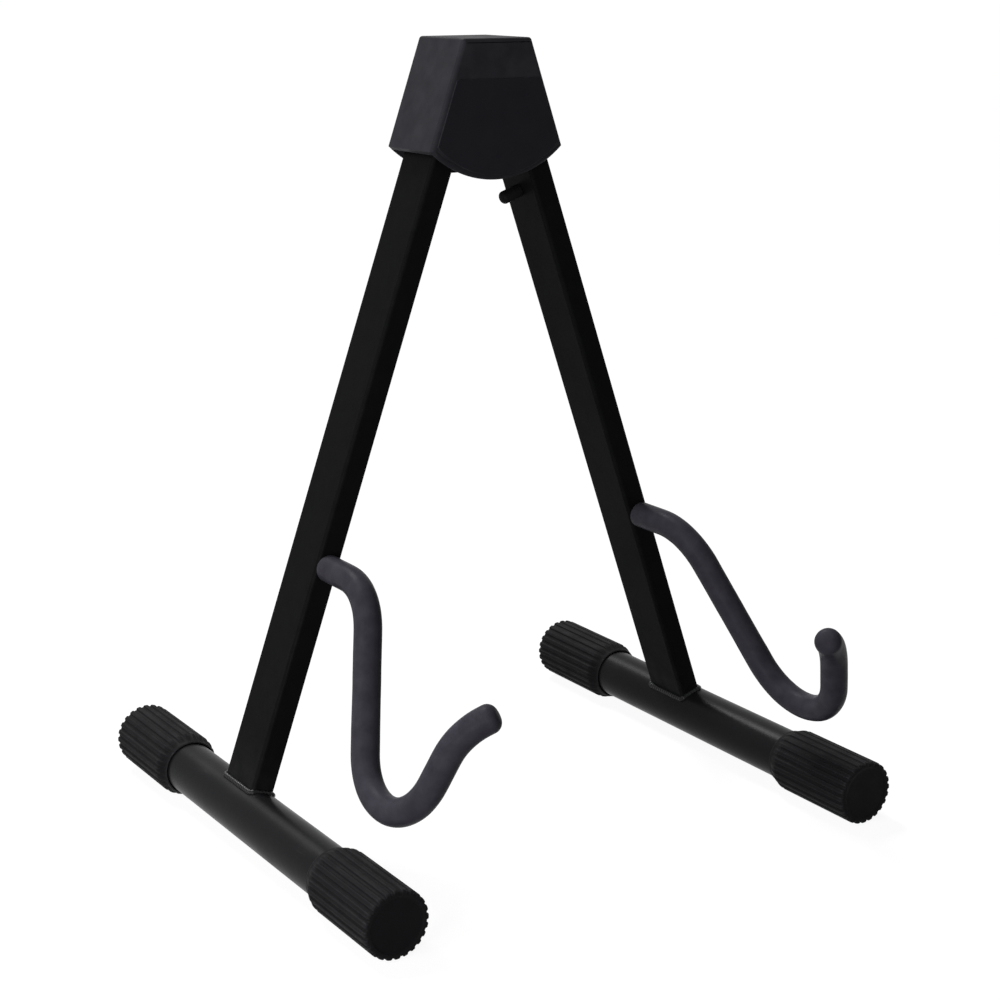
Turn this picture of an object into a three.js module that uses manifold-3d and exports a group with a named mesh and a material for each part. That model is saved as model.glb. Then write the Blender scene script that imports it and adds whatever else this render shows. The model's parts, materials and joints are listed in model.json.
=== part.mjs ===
// Folding A-frame guitar stand: two flat-sided legs hinged in a moulded head, each
// standing on a round foot tube and carrying a foam-covered support arm.
// Millimetres, +Z up, the front (where the instrument rests) towards -Y.

import * as THREE from 'three';
import { mergeVertices } from 'three/addons/utils/BufferGeometryUtils.js';
import Module from 'manifold-3d';

// ---- Stance ---------------------------------------------------------------
const PIVOT_HEIGHT = 358;          // leg pivots above the floor
const PIVOT_SPACING = 24.1;        // between the two leg pivots
const FEET_SPREAD = 264.2;         // between the axes of the two foot tubes, legs open
const FOOT_LENGTH = 264;           // over the end caps
const FOOT_BEHIND_LEG = 115.7;     // from the middle of the leg to the back end of the foot

// ---- Tubes ----------------------------------------------------------------
const LEG_WIDTH = 12;              // leg section, across the fold
const LEG_DEPTH = 28.6;            // leg section, front to back
const LEG_CORNER = 1.8;            // outside corner radius of the leg section
const LEG_WALL = 1.2;
const LEG_ABOVE_PIVOT = 6;
const FOOT_DIAMETER = 25.4;
const FOOT_WALL = 1.2;

// ---- End caps -------------------------------------------------------------
const CAP_WALL = 3;                // from the bore to the rib crests
const CAP_LENGTH = 57;
const CAP_END_WALL = 4;
const CAP_TAPER = 7;               // tapered mouth towards the middle of the foot
const CAP_MOUTH_WALL = 0.8;
const CAP_RIM = 1.4;               // rounding of the outer end
const CAP_RIBS = 24;
const CAP_RIB_HEIGHT = 0.8;
const CAP_RIB_CREST = 0.42;        // flat crest, as a share of one rib's pitch
const CAP_RIB_ROOT = 0.3;          // flat root, as a share of one rib's pitch

// ---- Support arms: a bent steel rod in a closed foam sleeve -----------------
const ROD_DIAMETER = 8;
const SLEEVE_WALL = 2.3;
const SLEEVE_TIP = 6;              // foam beyond the end of the rod
const SLEEVE_TIP_ROUND = 4.6;
const ARM_HEIGHT = 123.9;          // up the leg from the foot tube's axis
const ARM_RUN_OUT = 34.3;          // straight, forward from the middle of the leg
const ARM_DROP_RADIUS = 32;
const ARM_DROP_ANGLE = 62.7;       // degrees, downwards
const ARM_DROP_RUN = 55.9;
const ARM_CRADLE_RADIUS = 30.3;
const ARM_CRADLE_ANGLE = 135.4;    // degrees, back upwards
const ARM_RISE_RUN = 13.2;
const ARM_FLARE_RADIUS = 38.3;
const ARM_FLARE_ANGLE = 36;        // degrees, forwards and towards the other arm
const ARM_FLARE_ROLL = 63;         // degrees, turn of the flare's plane
const ARM_TIP_RUN = 0.3;

// ---- Head: steel bracket in a moulded cover ---------------------------------
const HEAD_ABOVE_PIVOT = 16.8;
const HEAD_BELOW_PIVOT = 34;       // to the lower corners of the cover
const APRON_DROP = 14.3;           // how far the curved front and back walls dip lower
const COVER_WALL = 2;
const COVER_FACE_WALL = 1.8;
const COVER_EDGE = 1.2;            // rounding around the front and back faces
const COVER_SIDE_ROOM = 3.9;       // between a leg's outer face and the cover's side wall
const PANEL_PROUD = 0.6;           // raised lower panel on the front and back faces
const PANEL_BELOW_PIVOT = 1.5;     // top edge of the raised panel
const PANEL_INSET = 1.3;
const SHEET = 1.5;                 // steel of the bracket
const BRACKET_ROOM = 0.5;          // bracket to the cover's top
const BRACKET_BELOW_PIVOT = 32;
const STOP_FLANGE_BELOW_PIVOT = 8; // top of the flanges that stop the legs
const PIVOT_DIAMETER = 6;
const RIVET_HEAD_DIAMETER = 10;
const RIVET_HEAD = 1.3;
const WASHER_DIAMETER = 10.4;
const WASHER = 0.6;
const POST_DIAMETER = 7;
const POST_TENON_DIAMETER = 4;
const POST_HEAD_DIAMETER = 6.4;
const POST_HEAD = 1;
const POST_BORE_DEPTH = 12;
const POST_ABOVE_PIVOT = 10;
const POST_BELOW_PIVOT = 26;
const SCREW_DIAMETER = 3;
const SCREW_HEAD_DIAMETER = 6;
const SCREW_HEAD = 1.9;
const SCREW_LENGTH = 15;
const SCREW_CROSS_WIDTH = 0.8;
const SCREW_CROSS_SPAN = 3.2;
const SCREW_CROSS_DEPTH = 1;
const PLUG_LENGTH = 34;            // moulded plug inside the top of each leg
const PLUG_CAP = 1.6;

// ---- Fold stop: one peg on the inner face of the right leg -------------------
const PEG_DIAMETER = 6.4;
const PEG_LENGTH = 11.6;
const PEG_NECK_DIAMETER = 4.4;
const PEG_BULB_DIAMETER = 5.8;
const PEG_BULB = 1.6;
const PEG_BELOW_PIVOT = 57.5;      // along the leg

// ---- Fits -------------------------------------------------------------------
const GAP = 0.3;                   // running and slip clearance all round
const SEAT = 0.2;                  // a head or shoulder to the face it sits on

const ROUND = 18;                  // facets of a small round
const BORE_ROUND = 28;             // facets of a foot cap's bore
const SLEEVE_ROUND = 14;
const ROD_ROUND = 8;
const ARM_PITCH = 6.2;             // spacing of the facets along an arm
const SWEEP_STEPS = 480;           // frames worked out along a swept bar
const TIP_DOME_ANGLES = [30, 60, 85];
const CENTRE_LINE = 0;
const DEG = Math.PI / 180;

// ---- Derived places -----------------------------------------------------------
const capRadius = FOOT_DIAMETER / 2 + GAP + CAP_WALL;
const footAxisHeight = capRadius;
const sleeveRadius = ROD_DIAMETER / 2 + GAP + SLEEVE_WALL;
const rodStart = -(LEG_DEPTH / 2 - LEG_WALL - GAP);
const sleeveStart = LEG_DEPTH / 2 + GAP;
const legAngle = Math.atan2((FEET_SPREAD - PIVOT_SPACING) / 2, PIVOT_HEIGHT - footAxisHeight);
const legLength = Math.hypot((FEET_SPREAD - PIVOT_SPACING) / 2, PIVOT_HEIGHT - footAxisHeight);
const headTop = PIVOT_HEIGHT + HEAD_ABOVE_PIVOT;
const headCorner = PIVOT_HEIGHT - HEAD_BELOW_PIVOT;
const washerInner = LEG_DEPTH / 2 + GAP;
const cheekInner = washerInner + WASHER + GAP;
const cheekOuter = cheekInner + SHEET;
const rivetEnd = cheekOuter + SEAT + RIVET_HEAD;
const coverInner = rivetEnd + GAP;
const coverOuter = coverInner + COVER_FACE_WALL;
const coverSide = LEG_WIDTH / 2 + COVER_SIDE_ROOM + COVER_WALL;
const pivotHoleRadius = PIVOT_DIAMETER / 2 + GAP;

// Half-width of the head at height z, on a line parallel to the open leg's axis.
function besideLeg(z, offset) {
  return PIVOT_SPACING / 2 + (PIVOT_HEIGHT - z) * Math.tan(legAngle) + offset / Math.cos(legAngle);
}

// ---- Solid modelling helpers ----------------------------------------------------
const wasm = await Module();
wasm.setup();

function toSolid(geometry) {
  const bare = geometry.clone();
  bare.deleteAttribute('normal');
  bare.deleteAttribute('uv');
  const merged = mergeVertices(bare);
  return new wasm.Manifold(new wasm.Mesh({
    numProp: 3,
    vertProperties: new Float32Array(merged.attributes.position.array),
    triVerts: new Uint32Array(merged.index.array),
  }));
}

function toGeometry(solid) {
  const mesh = solid.getMesh();
  const geometry = new THREE.BufferGeometry();
  geometry.setAttribute('position', new THREE.BufferAttribute(new Float32Array(mesh.vertProperties), 3));
  geometry.setIndex(new THREE.BufferAttribute(new Uint32Array(mesh.triVerts), 1));
  geometry.computeVertexNormals();
  return geometry;
}

function cut(body, ...tools) {
  return toGeometry(tools.reduce((solid, tool) => solid.subtract(toSolid(tool)), toSolid(body)));
}

function join(body, ...others) {
  return toGeometry(others.reduce((solid, other) => solid.add(toSolid(other)), toSolid(body)));
}

// A shape drawn in X and Z, made solid from y0 to y1.
function slab(shape, y0, y1, edge = 0) {
  const geometry = new THREE.ExtrudeGeometry(shape, {
    depth: y1 - y0 - 2 * edge,
    curveSegments: 12,
    bevelEnabled: edge > 0,
    bevelThickness: edge,
    bevelSize: edge,
    bevelOffset: -edge,
    bevelSegments: 2,
  });
  return geometry.rotateX(Math.PI / 2).translate(0, y1 - edge, 0);
}

// A round bar along Y, from y0 to y1.
function barY(radius, y0, y1, x = 0, z = 0, facets = ROUND) {
  return new THREE.CylinderGeometry(radius, radius, y1 - y0, facets).translate(x, (y0 + y1) / 2, z);
}

// A turned piece about Y: pairs of radius and place along Y.
function turned(profile, facets = ROUND) {
  return new THREE.LatheGeometry(profile.map(([r, y]) => new THREE.Vector2(r, y)), facets);
}

function roundedRectangle(width, depth, radius) {
  const x = width / 2 - radius;
  const y = depth / 2 - radius;
  const shape = new THREE.Shape();
  shape.absarc(x, y, radius, 0, Math.PI / 2);
  shape.absarc(-x, y, radius, Math.PI / 2, Math.PI);
  shape.absarc(-x, -y, radius, Math.PI, 1.5 * Math.PI);
  shape.absarc(x, -y, radius, 1.5 * Math.PI, 2 * Math.PI);
  return shape;
}

// A closed skin over rings of equal point counts, each end closed by a fan.
function loft(rings) {
  const count = rings[0].length;
  const positions = rings.flat().flatMap((p) => p.toArray());
  const centre = (ring) => ring.reduce((sum, p) => sum.add(p), new THREE.Vector3()).divideScalar(count);
  const first = rings.length * count;
  positions.push(...centre(rings[0]).toArray(), ...centre(rings.at(-1)).toArray());
  const index = [];
  for (let j = 0; j < count; j += 1) {
    const k = (j + 1) % count;
    const last = (rings.length - 1) * count;
    index.push(first, k, j, first + 1, last + j, last + k);
    for (let i = 0; i + 1 < rings.length; i += 1) {
      const a = i * count;
      const b = a + count;
      index.push(a + j, a + k, b + k, a + j, b + k, b + j);
    }
  }
  const geometry = new THREE.BufferGeometry();
  geometry.setAttribute('position', new THREE.Float32BufferAttribute(positions, 3));
  geometry.setIndex(index);
  return geometry;
}

// ---- Finishes --------------------------------------------------------------------
function finish(color, roughness, metalness) {
  return new THREE.MeshStandardMaterial({ color, roughness, metalness });
}

const powderCoat = finish(0x1b1b1d, 0.55, 0.1);
const glossCoat = finish(0x17171b, 0.3, 0.2);
const headPlastic = finish(0x2a282e, 0.6, 0);
const capRubber = finish(0x222226, 0.75, 0);
const armFoam = finish(0x2e2c34, 0.6, 0);
const zincSteel = finish(0xa8aaad, 0.35, 1);
const nylon = finish(0xd9d7cf, 0.5, 0);

const stand = new THREE.Group();

function addPiece(group, name, geometry, material) {
  const mesh = new THREE.Mesh(geometry, material);
  mesh.name = name;
  group.add(mesh);
  return mesh;
}

// ---- Head ---------------------------------------------------------------------------
// Trapezoid outline parallel to the open legs, between two heights.
function headOutline(offset, top, bottom) {
  const shape = new THREE.Shape();
  shape.moveTo(-besideLeg(top, offset), top);
  shape.lineTo(-besideLeg(bottom, offset), bottom);
  shape.lineTo(besideLeg(bottom, offset), bottom);
  shape.lineTo(besideLeg(top, offset), top);
  shape.closePath();
  return shape;
}

// The same outline with the bottom edge bowed down by a circular arc.
function bowedOutline(offset, top, bottom, drop) {
  const half = besideLeg(bottom, offset);
  const radius = (half * half + drop * drop) / (2 * drop);
  const centreZ = bottom - drop + radius;
  const swing = Math.asin(half / radius);
  const shape = new THREE.Shape();
  shape.absarc(0, centreZ, radius, -Math.PI / 2 - swing, -Math.PI / 2 + swing);
  shape.lineTo(besideLeg(top, offset), top);
  shape.lineTo(-besideLeg(top, offset), top);
  shape.closePath();
  return shape;
}

const postHeights = { upper: PIVOT_HEIGHT + POST_ABOVE_PIVOT, lower: PIVOT_HEIGHT - POST_BELOW_PIVOT };
const panelTop = PIVOT_HEIGHT - PANEL_BELOW_PIVOT;

function headCover() {
  const outline = bowedOutline(coverSide, headTop, headCorner, APRON_DROP);
  const outer = slab(outline, -coverOuter, coverOuter, COVER_EDGE);
  const panel = bowedOutline(coverSide - PANEL_INSET, panelTop, headCorner, APRON_DROP - PANEL_INSET);
  const panelRoot = (coverInner + coverOuter) / 2;
  const panelFace = coverOuter + PANEL_PROUD;
  const cavity = headOutline(coverSide - COVER_WALL, headTop - COVER_WALL, headCorner - 2 * APRON_DROP);
  const block = join(outer, slab(panel, -panelFace, -panelRoot), slab(panel, panelRoot, panelFace));
  const screwHoles = Object.values(postHeights).map(
    (z) => barY(SCREW_DIAMETER / 2 + GAP, coverInner - 1, panelFace + 1, CENTRE_LINE, z));
  return cut(block, slab(cavity, -coverInner, coverInner), ...screwHoles);
}

function bracketHoles(y0, y1, postRadius) {
  const pivots = [-1, 1].map((side) => barY(pivotHoleRadius, y0, y1, side * PIVOT_SPACING / 2, PIVOT_HEIGHT));
  const posts = Object.values(postHeights).map((z) => barY(postRadius, y0, y1, CENTRE_LINE, z));
  return [...pivots, ...posts];
}

const bracketSide = LEG_WIDTH / 2 + GAP + SHEET;
const bracketOutline = headOutline(
  bracketSide, headTop - COVER_WALL - BRACKET_ROOM, PIVOT_HEIGHT - BRACKET_BELOW_PIVOT);

// Front half of the bracket, with a flange on each side that stops the open leg.
function bracketPan() {
  const face = slab(bracketOutline, -cheekOuter, -cheekInner);
  const flanges = [-1, 1].map((side) => {
    const top = PIVOT_HEIGHT - STOP_FLANGE_BELOW_PIVOT;
    const bottom = PIVOT_HEIGHT - BRACKET_BELOW_PIVOT;
    const shape = new THREE.Shape();
    shape.moveTo(side * besideLeg(top, bracketSide - SHEET), top);
    shape.lineTo(side * besideLeg(bottom, bracketSide - SHEET), bottom);
    shape.lineTo(side * besideLeg(bottom, bracketSide), bottom);
    shape.lineTo(side * besideLeg(top, bracketSide), top);
    shape.closePath();
    return slab(shape, -cheekOuter, cheekInner - GAP);
  });
  const holes = bracketHoles(-cheekOuter - 1, -cheekInner + 1, POST_TENON_DIAMETER / 2 + GAP);
  return cut(join(face, ...flanges), ...holes);
}

function bracketPlate() {
  const holes = bracketHoles(cheekInner - 1, cheekOuter + 1, SCREW_DIAMETER / 2 + GAP);
  return cut(slab(bracketOutline, cheekInner, cheekOuter), ...holes);
}

function pivotRivet() {
  const head = RIVET_HEAD_DIAMETER / 2;
  const shank = PIVOT_DIAMETER / 2;
  const seat = cheekOuter + SEAT;
  const brow = rivetEnd - RIVET_HEAD / 2;
  return turned([
    [0, -rivetEnd], [head * 0.8, -rivetEnd], [head, -brow], [head, -seat], [shank, -seat],
    [shank, seat], [head, seat], [head, brow], [head * 0.8, rivetEnd], [0, rivetEnd],
  ]);
}

function frictionWasher() {
  const inner = pivotHoleRadius;
  const outer = WASHER_DIAMETER / 2;
  return turned([[inner, 0], [outer, 0], [outer, WASHER], [inner, WASHER], [inner, 0]]);
}

// Post tying the two bracket halves: peened at the front, tapped for a screw at the back.
function bracketPost() {
  const body = POST_DIAMETER / 2;
  const tenon = POST_TENON_DIAMETER / 2;
  const head = POST_HEAD_DIAMETER / 2;
  const bore = SCREW_DIAMETER / 2 + GAP / 2;
  const shoulder = cheekInner - SEAT;
  const seat = cheekOuter + SEAT;
  return turned([
    [0, -seat - POST_HEAD], [head * 0.85, -seat - POST_HEAD], [head, -seat], [tenon, -seat],
    [tenon, -shoulder], [body, -shoulder], [body, shoulder], [bore, shoulder],
    [bore, shoulder - POST_BORE_DEPTH], [0, shoulder - POST_BORE_DEPTH],
  ]);
}

function coverScrew() {
  const head = SCREW_HEAD_DIAMETER / 2;
  const shank = SCREW_DIAMETER / 2;
  const body = turned([
    [0, -SCREW_LENGTH], [shank * 0.6, -SCREW_LENGTH], [shank, 1 - SCREW_LENGTH], [shank, 0],
    [head, 0], [head, SCREW_HEAD / 2], [head * 0.75, SCREW_HEAD], [0, SCREW_HEAD],
  ]);
  const depth = 2 * SCREW_CROSS_DEPTH;
  const slots = [0, Math.PI / 2].map(
    (turn) => new THREE.BoxGeometry(SCREW_CROSS_SPAN, depth, SCREW_CROSS_WIDTH)
      .rotateY(turn).translate(0, SCREW_HEAD, 0));
  return cut(body, ...slots);
}

addPiece(stand, 'head_cover', headCover(), headPlastic);
addPiece(stand, 'bracket_pan', bracketPan(), zincSteel);
addPiece(stand, 'bracket_plate', bracketPlate(), zincSteel);

for (const [level, z] of Object.entries(postHeights)) {
  const face = z < panelTop ? coverOuter + PANEL_PROUD : coverOuter;
  addPiece(stand, `${level}_bracket_post`, bracketPost(), zincSteel).position.set(CENTRE_LINE, 0, z);
  addPiece(stand, `${level}_cover_screw`, coverScrew(), powderCoat).position.set(CENTRE_LINE, face + SEAT, z);
}

// ---- Legs, feet and arms ----------------------------------------------------------------
function legTube(side) {
  const section = roundedRectangle(LEG_WIDTH, LEG_DEPTH, LEG_CORNER);
  const hollow = roundedRectangle(LEG_WIDTH - 2 * LEG_WALL, LEG_DEPTH - 2 * LEG_WALL, LEG_CORNER - LEG_WALL);
  section.holes.push(hollow);
  const start = FOOT_DIAMETER / 2 - LEG_WIDTH / 2;
  const depth = legLength + LEG_ABOVE_PIVOT - start;
  const tube = new THREE.ExtrudeGeometry(section, { depth, curveSegments: 4, bevelEnabled: false })
    .translate(0, 0, start);
  const reach = LEG_DEPTH;
  const cope = barY(FOOT_DIAMETER / 2 + GAP, -reach, reach, 0, 0, BORE_ROUND);
  const pivotHole = barY(pivotHoleRadius, -reach, reach, 0, legLength);
  const armHole = barY(ROD_DIAMETER / 2 + GAP, -reach, GAP / 2 - rodStart, 0, ARM_HEIGHT);
  const tools = [cope, pivotHole, armHole];
  if (side > 0) {
    const radius = PEG_NECK_DIAMETER / 2 + GAP;
    tools.push(new THREE.CylinderGeometry(radius, radius, LEG_WIDTH, ROUND)
      .rotateZ(Math.PI / 2).translate(-LEG_WIDTH / 2, 0, legLength - PEG_BELOW_PIVOT));
  }
  return cut(tube, ...tools);
}

// Moulded plug in the top of the leg; the pivot turns in its bore.
function legPlug() {
  const top = legLength + LEG_ABOVE_PIVOT + SEAT;
  const width = LEG_WIDTH - 2 * (LEG_WALL + GAP);
  const depth = LEG_DEPTH - 2 * (LEG_WALL + GAP);
  const stem = new THREE.BoxGeometry(width, depth, PLUG_LENGTH).translate(0, 0, top - PLUG_LENGTH / 2);
  const lid = new THREE.ExtrudeGeometry(
    roundedRectangle(LEG_WIDTH, LEG_DEPTH, LEG_CORNER),
    { depth: PLUG_CAP, curveSegments: 4, bevelEnabled: false }).translate(0, 0, top);
  return cut(join(stem, lid), barY(pivotHoleRadius, -LEG_DEPTH, LEG_DEPTH, 0, legLength));
}

function footTube() {
  const ring = new THREE.Shape();
  ring.absarc(0, 0, FOOT_DIAMETER / 2, 0, 2 * Math.PI);
  const bore = new THREE.Path();
  bore.absarc(0, 0, FOOT_DIAMETER / 2 - FOOT_WALL, 0, 2 * Math.PI);
  ring.holes.push(bore);
  const length = FOOT_LENGTH - 2 * (CAP_END_WALL + SEAT);
  return new THREE.ExtrudeGeometry(ring, { depth: length, curveSegments: BORE_ROUND / 2, bevelEnabled: false })
    .rotateX(Math.PI / 2).translate(0, length, 0);
}

// One ring of the ribbed cap: flat crests and flat roots, a crest exactly at the bottom.
function ribRing(y, crest, root) {
  const pitch = 2 * Math.PI / CAP_RIBS;
  const ring = [];
  for (let i = 0; i < CAP_RIBS; i += 1) {
    const middle = -Math.PI / 2 + i * pitch;
    const crestHalf = CAP_RIB_CREST * pitch / 2;
    const rootHalf = (1 - CAP_RIB_ROOT) * pitch / 2;
    for (const [angle, flat] of [[-rootHalf, root], [-crestHalf, crest], [crestHalf, crest], [rootHalf, root]]) {
      const half = flat === crest ? crestHalf : pitch / 2 - rootHalf;
      const radius = flat / Math.cos(half);
      ring.push(new THREE.Vector3(radius * Math.cos(middle + angle), y, radius * Math.sin(middle + angle)));
    }
  }
  return ring;
}

// Cap with its mouth at y = 0 and its closed end at y = CAP_LENGTH.
function footCap() {
  const crest = capRadius;
  const root = crest - CAP_RIB_HEIGHT;
  const mouth = FOOT_DIAMETER / 2 + GAP + CAP_MOUTH_WALL;
  const slope = CAP_RIM * (1 - Math.SQRT1_2);
  const rings = [
    ribRing(0, mouth, mouth),
    ribRing(CAP_TAPER, crest, root),
    ribRing(CAP_LENGTH - CAP_RIM, crest, root),
    ribRing(CAP_LENGTH - slope, crest - slope, root - slope),
    ribRing(CAP_LENGTH, crest - CAP_RIM, root - CAP_RIM),
  ];
  const skin = loft(rings.reverse());
  return cut(skin, barY(FOOT_DIAMETER / 2 + GAP, -1, CAP_LENGTH - CAP_END_WALL, 0, 0, BORE_ROUND));
}

// The arm's centre line, made as on a pipe bender: straight runs and bends in turned planes.
class BentRod extends THREE.Curve {
  constructor(start, heading, normal, moves) {
    super();
    this.runs = [];
    this.length = 0;
    const at = start.clone();
    const along = heading.clone();
    const axis = normal.clone();
    for (const { run = 0, radius = 0, angle = 0, roll = 0 } of moves) {
      axis.applyAxisAngle(along, roll * DEG);
      const length = run + radius * Math.abs(angle) * DEG;
      this.runs.push({
        from: this.length,
        at: at.clone(),
        along: along.clone(),
        axis: axis.clone(),
        radius,
        angle,
      });
      const end = this.follow(this.runs.at(-1), length);
      at.copy(end.at);
      along.copy(end.along);
      this.length += length;
    }
  }

  follow({ at, along, axis, radius, angle }, travel) {
    if (!radius) {
      return { at: at.clone().addScaledVector(along, travel), along };
    }
    const sign = Math.sign(angle);
    const centre = axis.clone().cross(along).multiplyScalar(sign * radius).add(at);
    const turn = sign * travel / radius;
    const spoke = at.clone().sub(centre).applyAxisAngle(axis, turn);
    return { at: centre.add(spoke), along: along.clone().applyAxisAngle(axis, turn) };
  }

  getPoint(t, target = new THREE.Vector3()) {
    const travel = t * this.length;
    const run = this.runs.findLast((r) => r.from <= travel + 1e-9) ?? this.runs[0];
    return target.copy(this.follow(run, travel - run.from).at);
  }
}

function armPath(side, startDepth, tipRun) {
  const start = new THREE.Vector3(0, -startDepth, ARM_HEIGHT);
  const forward = new THREE.Vector3(0, -1, 0);
  const across = new THREE.Vector3(1, 0, 0);
  return new BentRod(start, forward, across, [
    { run: ARM_RUN_OUT - startDepth },
    { radius: ARM_DROP_RADIUS, angle: ARM_DROP_ANGLE },
    { run: ARM_DROP_RUN },
    { radius: ARM_CRADLE_RADIUS, angle: -ARM_CRADLE_ANGLE },
    { run: ARM_RISE_RUN },
    { radius: ARM_FLARE_RADIUS, angle: ARM_FLARE_ANGLE, roll: -side * ARM_FLARE_ROLL },
    { run: tipRun },
  ]);
}

// A round bar along a curve: stations are pairs of distance from the start and radius.
function sweep(curve, stations, facets) {
  const frames = curve.computeFrenetFrames(SWEEP_STEPS);
  const rings = stations.map(([distance, radius]) => {
    const t = distance / curve.length;
    const frame = Math.round(t * SWEEP_STEPS);
    const centre = curve.getPoint(t);
    return Array.from({ length: facets }, (_, i) => {
      const angle = 2 * Math.PI * i / facets;
      return centre.clone()
        .addScaledVector(frames.normals[frame], radius * Math.cos(angle))
        .addScaledVector(frames.binormals[frame], radius * Math.sin(angle));
    });
  });
  return loft(rings);
}

function evenStations(from, to, radius, pitch) {
  const count = Math.ceil((to - from) / pitch);
  return Array.from({ length: count + 1 }, (_, i) => [from + (to - from) * i / count, radius]);
}

function armRod(side) {
  const path = armPath(side, rodStart, ARM_TIP_RUN);
  return sweep(path, evenStations(0, path.length, ROD_DIAMETER / 2, ARM_PITCH), ROD_ROUND);
}

function armSleeve(side) {
  const path = armPath(side, sleeveStart, ARM_TIP_RUN + SLEEVE_TIP);
  const tip = path.length - SLEEVE_TIP_ROUND;
  const dome = TIP_DOME_ANGLES.map((a) => [
    tip + SLEEVE_TIP_ROUND * Math.sin(a * DEG),
    sleeveRadius - SLEEVE_TIP_ROUND * (1 - Math.cos(a * DEG))]);
  const skin = sweep(path, [...evenStations(0, tip, sleeveRadius, ARM_PITCH), ...dome], SLEEVE_ROUND);
  const bore = armPath(side, sleeveStart - 1, ARM_TIP_RUN + GAP);
  return cut(skin, sweep(bore, evenStations(0, bore.length, ROD_DIAMETER / 2 + GAP, ARM_PITCH), ROD_ROUND));
}

function foldStopPeg() {
  const peg = PEG_DIAMETER / 2;
  const neck = PEG_NECK_DIAMETER / 2;
  const bulb = PEG_BULB_DIAMETER / 2;
  const inside = -LEG_WALL - SEAT;
  return turned([
    [0, inside - PEG_BULB], [bulb * 0.7, inside - PEG_BULB], [bulb, inside], [neck, inside], [neck, SEAT],
    [peg, SEAT], [peg, PEG_LENGTH - peg * 0.7], [peg * 0.8, PEG_LENGTH - peg * 0.25],
    [peg * 0.45, PEG_LENGTH], [0, PEG_LENGTH],
  ]);
}

for (const [name, side] of [['left', -1], ['right', 1]]) {
  const pivotX = side * PIVOT_SPACING / 2;
  addPiece(stand, `${name}_pivot_rivet`, pivotRivet(), zincSteel).position.set(pivotX, 0, PIVOT_HEIGHT);
  for (const [place, y] of [['front', -washerInner - WASHER], ['back', washerInner]]) {
    addPiece(stand, `${name}_${place}_washer`, frictionWasher(), nylon).position.set(pivotX, y, PIVOT_HEIGHT);
  }

  const leg = new THREE.Group();
  leg.position.set(side * FEET_SPREAD / 2, 0, footAxisHeight);
  leg.rotation.y = -side * legAngle;
  stand.add(leg);
  addPiece(leg, `${name}_leg_tube`, legTube(side), powderCoat);
  addPiece(leg, `${name}_leg_plug`, legPlug(), nylon);
  addPiece(leg, `${name}_arm_rod`, armRod(side), zincSteel);
  addPiece(leg, `${name}_arm_sleeve`, armSleeve(side), armFoam);
  if (side > 0) {
    const peg = addPiece(leg, 'fold_stop_peg', foldStopPeg(), capRubber);
    peg.rotation.z = Math.PI / 2;
    peg.position.set(-LEG_WIDTH / 2, 0, legLength - PEG_BELOW_PIVOT);
  }

  const foot = new THREE.Group();
  foot.position.set(side * FEET_SPREAD / 2, FOOT_BEHIND_LEG - FOOT_LENGTH, footAxisHeight);
  stand.add(foot);
  addPiece(foot, `${name}_foot_tube`, footTube(), glossCoat).position.y = CAP_END_WALL + SEAT;
  addPiece(foot, `${name}_back_cap`, footCap(), capRubber).position.y = FOOT_LENGTH - CAP_LENGTH;
  const frontCap = addPiece(foot, `${name}_front_cap`, footCap(), capRubber);
  frontCap.rotation.z = Math.PI;
  frontCap.position.y = CAP_LENGTH;
}

// The origin lies on the floor, midway between the feet and midway front to back.
const extent = new THREE.Box3().setFromObject(stand, true);
stand.position.y = -(extent.min.y + extent.max.y) / 2;
stand.updateMatrixWorld(true);

export default stand;
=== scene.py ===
"""Folding A-frame guitar stand: the shapes and finishes of its pieces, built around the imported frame.

Lengths are in metres, +Z is up, and the instrument rests on the -Y side.
"""

import json
import logging
import math
from dataclasses import dataclass
from enum import Enum
from typing import Sequence

import bmesh
import bpy
import numpy as np
from mathutils import Matrix, Vector, noise


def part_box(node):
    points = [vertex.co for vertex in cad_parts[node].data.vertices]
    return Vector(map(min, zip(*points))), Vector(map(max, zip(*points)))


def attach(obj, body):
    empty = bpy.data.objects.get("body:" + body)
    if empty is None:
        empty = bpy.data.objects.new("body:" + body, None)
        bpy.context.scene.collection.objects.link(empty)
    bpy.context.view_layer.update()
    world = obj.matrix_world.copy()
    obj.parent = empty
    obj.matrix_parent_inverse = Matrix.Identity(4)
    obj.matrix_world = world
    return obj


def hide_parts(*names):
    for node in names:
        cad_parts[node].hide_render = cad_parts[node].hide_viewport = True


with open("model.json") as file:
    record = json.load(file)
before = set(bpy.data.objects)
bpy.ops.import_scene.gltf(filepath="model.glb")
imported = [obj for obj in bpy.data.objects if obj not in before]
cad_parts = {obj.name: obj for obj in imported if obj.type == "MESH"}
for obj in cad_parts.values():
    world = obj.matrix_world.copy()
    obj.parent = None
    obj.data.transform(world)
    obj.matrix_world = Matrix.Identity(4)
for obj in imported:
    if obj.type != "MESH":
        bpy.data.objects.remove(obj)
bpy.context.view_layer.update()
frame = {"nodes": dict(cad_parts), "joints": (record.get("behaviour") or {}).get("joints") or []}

LOG = logging.getLogger("guitar_stand")
Socket = bpy.types.NodeSocket
Piece = bpy.types.Object
Finish = bpy.types.Material
Colour = tuple[float, float, float]
Point = tuple[float, float, float]
ALONG_Y = Vector((0, 1, 0))
QUARTER = math.pi / 2
SHARP = 1e-6  # radius of a corner that stays sharp
LIP = 0.0003  # rounding of a cut end


class Side(Enum):
    """Which leg a piece belongs to, as the sign of its X."""

    LEFT = -1
    RIGHT = 1

    @property
    def word(self) -> str:
        """The side's name as it stands in the names of nodes and bodies."""
        return self.name.lower()

    @property
    def body(self) -> str:
        """The CAD body that carries everything on this leg."""
        return f"{self.word}_leg"


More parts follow.
